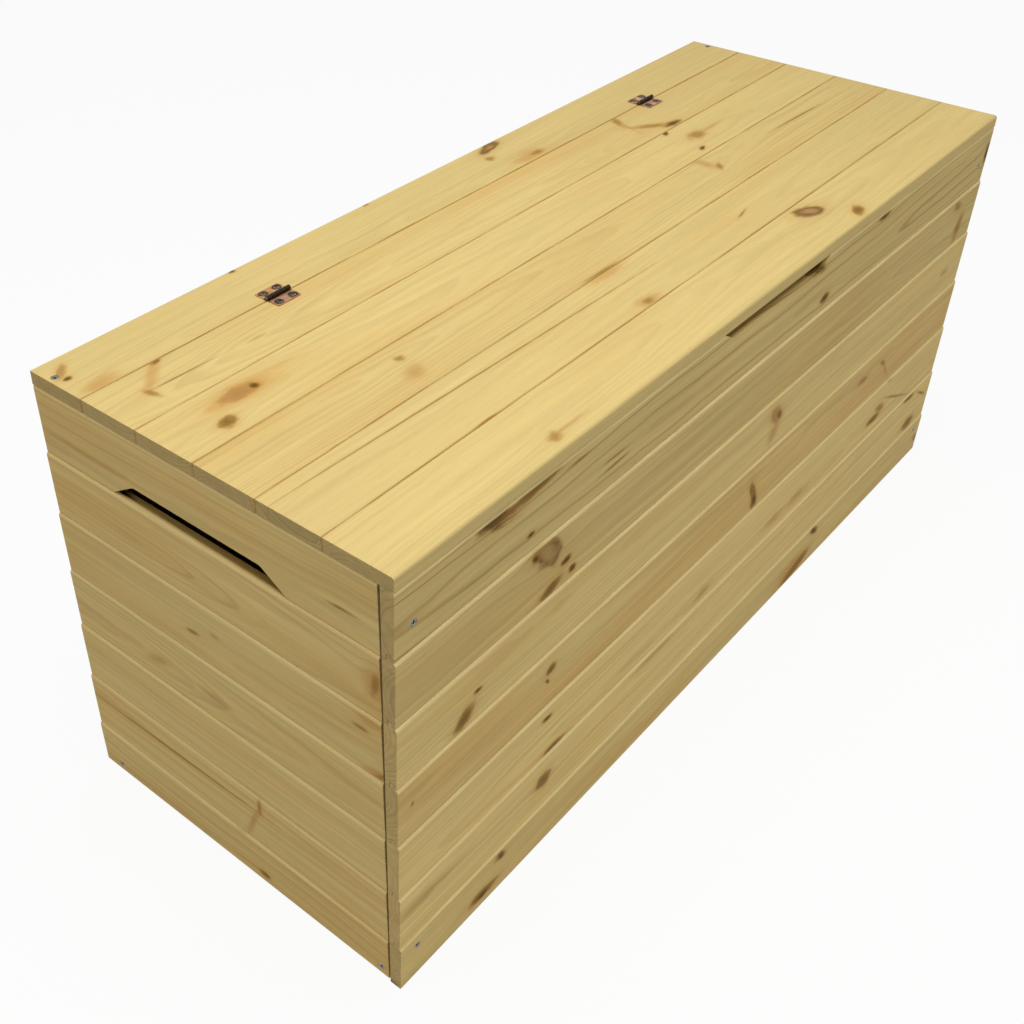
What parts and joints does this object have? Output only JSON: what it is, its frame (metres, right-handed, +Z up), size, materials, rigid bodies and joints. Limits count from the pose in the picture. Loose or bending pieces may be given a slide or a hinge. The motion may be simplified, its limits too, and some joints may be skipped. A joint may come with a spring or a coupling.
{
  "type": "wooden storage chest",
  "caption": "Long natural pine storage chest of tongue-and-groove boards, with a lid that folds back on butt hinges, hand holes in the ends and a finger notch in front.",
  "frame": {"origin": "middle of the footprint, on the ground", "axes": "+X along the chest to its right end, the front faces -Y, +Z up"},
  "size_m": [1.1, 0.42, 0.4986],
  "materials": {
    "pine_boards": "planed natural pine with knots, unfinished",
    "pine_frame": "sawn natural pine, unfinished",
    "hinge_bronze": "antique bronze plating",
    "screw_zinc": "bright zinc plating"
  },
  "bodies": {
    "case": {"front_board_1": "pine_boards", "front_board_2": "pine_boards", "front_board_3": "pine_boards", "front_board_4": "pine_boards", "front_board_5": "pine_boards", "front_board_6": "pine_boards", "front_board_7": "pine_boards", "rear_board_1": "pine_boards", "rear_board_2": "pine_boards", "rear_board_3": "pine_boards", "rear_board_4": "pine_boards", "rear_board_5": "pine_boards", "rear_board_6": "pine_boards", "rear_board_7": "pine_boards", "left_board_1": "pine_boards", "left_board_2": "pine_boards", "left_board_3": "pine_boards", "left_board_4": "pine_boards", "left_board_5": "pine_boards", "left_board_6": "pine_boards", "left_board_7": "pine_boards", "right_board_1": "pine_boards", "right_board_2": "pine_boards", "right_board_3": "pine_boards", "right_board_4": "pine_boards", "right_board_5": "pine_boards", "right_board_6": "pine_boards", "right_board_7": "pine_boards", "floor_board_1": "pine_boards", "floor_board_2": "pine_boards", "floor_board_3": "pine_boards", "floor_board_4": "pine_boards", "floor_board_5": "pine_boards", "floor_board_6": "pine_boards", "hinge_rail": "pine_boards", "left_bearer": "pine_frame", "middle_bearer": "pine_frame", "right_bearer": "pine_frame", "front_left_post": "pine_frame", "front_right_post": "pine_frame", "rear_left_post": "pine_frame", "rear_right_post": "pine_frame", "left_hinge_rail_leaf": "hinge_bronze", "right_hinge_rail_leaf": "hinge_bronze", "hinge_pins": "hinge_bronze", "hinge_rail_screws": "hinge_bronze", "case_screws": "screw_zinc", "floor_screws": "screw_zinc"},
    "lid": {"lid_board_1": "pine_boards", "lid_board_2": "pine_boards", "lid_board_3": "pine_boards", "lid_board_4": "pine_boards", "lid_board_5": "pine_boards", "left_lid_batten": "pine_frame", "middle_lid_batten": "pine_frame", "right_lid_batten": "pine_frame", "left_hinge_lid_leaf": "hinge_bronze", "right_hinge_lid_leaf": "hinge_bronze", "hinge_lid_screws": "hinge_bronze", "batten_screws": "screw_zinc"}
  },
  "joints": [
    {"name": "lid_hinge", "type": "hinge", "parent": "case", "child": "lid", "pos_m": [0, 0.14, 0.4962], "axis": [-1, 0, 0], "range_deg": [0, 180]}
  ]
}
